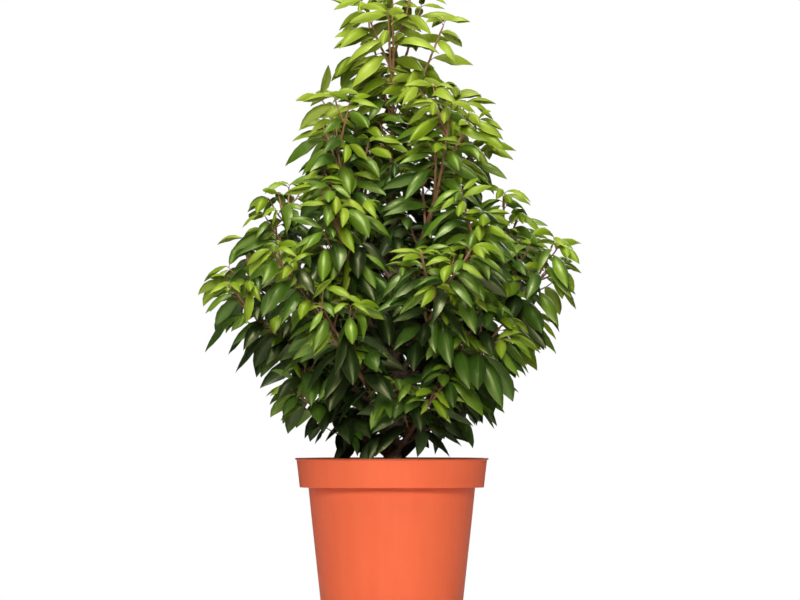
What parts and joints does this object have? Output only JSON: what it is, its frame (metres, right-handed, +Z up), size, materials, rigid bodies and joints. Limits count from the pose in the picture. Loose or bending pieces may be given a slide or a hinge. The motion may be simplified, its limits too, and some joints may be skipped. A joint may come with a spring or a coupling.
{
  "type": "potted portuguese laurel",
  "caption": "Bushy evergreen shrub with glossy pointed leaves on ascending shoots, growing in a round tapered plastic nursery pot.",
  "frame": {"origin": "centre of the pot's flat underside, at the level of the ground the pot stands on", "axes": "+Z up along the pot's axis, +X to the right of the picture, the pictured side facing -Y"},
  "size_m": [0.5615, 0.5166, 0.9359],
  "materials": {
    "terracotta_plastic": "satin orange terracotta colour",
    "compost": "dark crumbly potting compost",
    "bark": "smooth dark reddish-brown bark",
    "foliage": "glossy green leaves on reddish-brown twigs"
  },
  "bodies": {
    "root": {"pot": "terracotta_plastic", "compost": "compost", "trunk": "bark", "bough_skirt_1": "bark", "bough_skirt_2": "bark", "bough_skirt_3": "bark", "bough_skirt_4": "bark", "bough_low_1": "bark", "bough_low_2": "bark", "bough_low_3": "bark", "bough_low_4": "bark", "bough_low_5": "bark", "bough_wide_1": "bark", "bough_wide_2": "bark", "bough_wide_3": "bark", "bough_wide_4": "bark", "bough_wide_5": "bark", "bough_wide_6": "bark", "bough_shoulder_1": "bark", "bough_shoulder_2": "bark", "bough_shoulder_3": "bark", "bough_shoulder_4": "bark", "bough_shoulder_5": "bark", "bough_upper_1": "bark", "bough_upper_2": "bark", "bough_upper_3": "bark", "bough_upper_4": "bark", "foliage_skirt_1": "foliage", "foliage_skirt_2": "foliage", "foliage_skirt_3": "foliage", "foliage_skirt_4": "foliage", "foliage_low_1": "foliage", "foliage_low_2": "foliage", "foliage_low_3": "foliage", "foliage_low_4": "foliage", "foliage_low_5": "foliage", "foliage_wide_1": "foliage", "foliage_wide_2": "foliage", "foliage_wide_3": "foliage", "foliage_wide_4": "foliage", "foliage_wide_5": "foliage", "foliage_wide_6": "foliage", "foliage_shoulder_1": "foliage", "foliage_shoulder_2": "foliage", "foliage_shoulder_3": "foliage", "foliage_shoulder_4": "foliage", "foliage_shoulder_5": "foliage", "foliage_upper_1": "foliage", "foliage_upper_2": "foliage", "foliage_upper_3": "foliage", "foliage_upper_4": "foliage", "foliage_leader": "foliage"}
  },
  "joints": []
}
